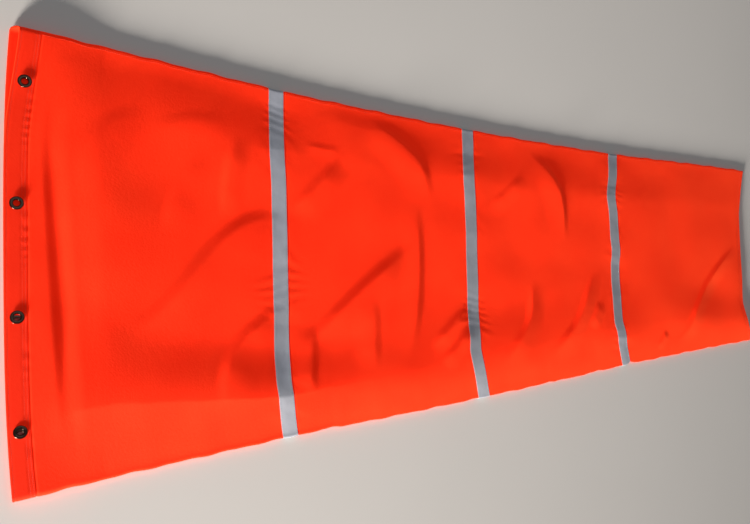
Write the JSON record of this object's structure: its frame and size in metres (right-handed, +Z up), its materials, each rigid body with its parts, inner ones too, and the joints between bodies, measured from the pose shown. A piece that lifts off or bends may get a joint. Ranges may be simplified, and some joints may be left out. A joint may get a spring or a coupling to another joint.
{
  "type": "windsock sleeve",
  "caption": "Flattened tapering wind sleeve in fluorescent cloth with reflective bands across it and a hemmed mouth with metal lacing eyelets.",
  "frame": {"origin": "under the middle of the laid sleeve's box, on the surface that it lies on", "axes": "+X along the sleeve from mouth to tail, +Y across it, +Z up"},
  "size_m": [1.804, 0.7082, 0.0236],
  "materials": {
    "cloth": "fluorescent red-orange woven polyester",
    "webbing": "woven webbing",
    "reflective": "silver glass-bead reflective tape",
    "eyelet_metal": "dark polished plating"
  },
  "bodies": {
    "mouth": {"mouth_hem": "cloth", "mouth_section": "cloth", "hem_webbing": "webbing", "reflective_band_1": "reflective", "eyelet_upper_1": "eyelet_metal", "washer_upper_1": "eyelet_metal", "eyelet_lower_1": "eyelet_metal", "washer_lower_1": "eyelet_metal", "eyelet_upper_2": "eyelet_metal", "washer_upper_2": "eyelet_metal", "eyelet_lower_2": "eyelet_metal", "washer_lower_2": "eyelet_metal", "eyelet_upper_3": "eyelet_metal", "washer_upper_3": "eyelet_metal", "eyelet_lower_3": "eyelet_metal", "washer_lower_3": "eyelet_metal", "eyelet_upper_4": "eyelet_metal", "washer_upper_4": "eyelet_metal", "eyelet_lower_4": "eyelet_metal", "washer_lower_4": "eyelet_metal"},
    "second": {"second_section": "cloth", "reflective_band_2": "reflective"},
    "third": {"third_section": "cloth", "reflective_band_3": "reflective"},
    "tail": {"tail_section": "cloth"}
  },
  "joints": [
    {"name": "seam_1_bend", "type": "hinge", "parent": "mouth", "child": "second", "pos_m": [-0.457, 0, 0.0236], "axis": [0, -1, 0], "range_deg": [0, 75]},
    {"name": "seam_2_bend", "type": "hinge", "parent": "second", "child": "third", "pos_m": [-0.037, 0, 0.0236], "axis": [0, -1, 0], "range_deg": [0, 75]},
    {"name": "seam_3_bend", "type": "hinge", "parent": "third", "child": "tail", "pos_m": [0.383, 0, 0.0236], "axis": [0, -1, 0], "range_deg": [0, 75]}
  ]
}
